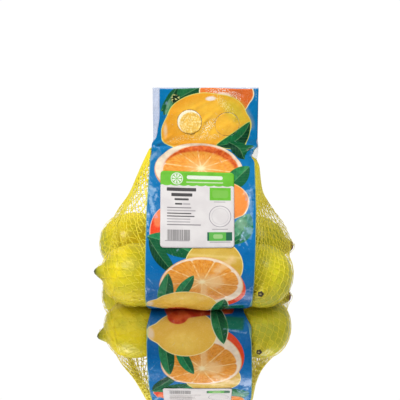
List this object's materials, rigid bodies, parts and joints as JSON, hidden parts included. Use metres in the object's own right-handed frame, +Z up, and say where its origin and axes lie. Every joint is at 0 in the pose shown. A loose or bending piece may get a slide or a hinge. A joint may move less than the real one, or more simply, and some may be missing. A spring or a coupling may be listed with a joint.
{
  "type": "net bag of lemons with film header",
  "caption": "Retail net bag of whole lemons: a fine yellow mesh tube with a printed film panel, a flat film header to hang or carry it by, and a plain paper label.",
  "frame": {"origin": "middle of the pack's base, on the ground it stands on", "axes": "+Z up through the film header, +X to the right as seen from the front, the printed front panel facing -Y"},
  "size_m": [0.2024, 0.1507, 0.2162],
  "materials": {
    "yellow_net": "fine knitted polyethylene mesh, slightly glossy yellow thread",
    "printed_film": "glossy printed film, blue ground with orange, yellow and green citrus shapes",
    "clear_film": "thin translucent film, pale blue-white where it doubles",
    "label_paper": "satin self-adhesive paper with a green head band and no lettering",
    "lemon_peel": "waxy dimpled lemon peel, bright yellow to yellow-green"
  },
  "bodies": {
    "root": {"lemon_net": "yellow_net", "film_front": "printed_film", "film_back": "clear_film", "paper_label": "label_paper"}
  },
  "joints": []
}
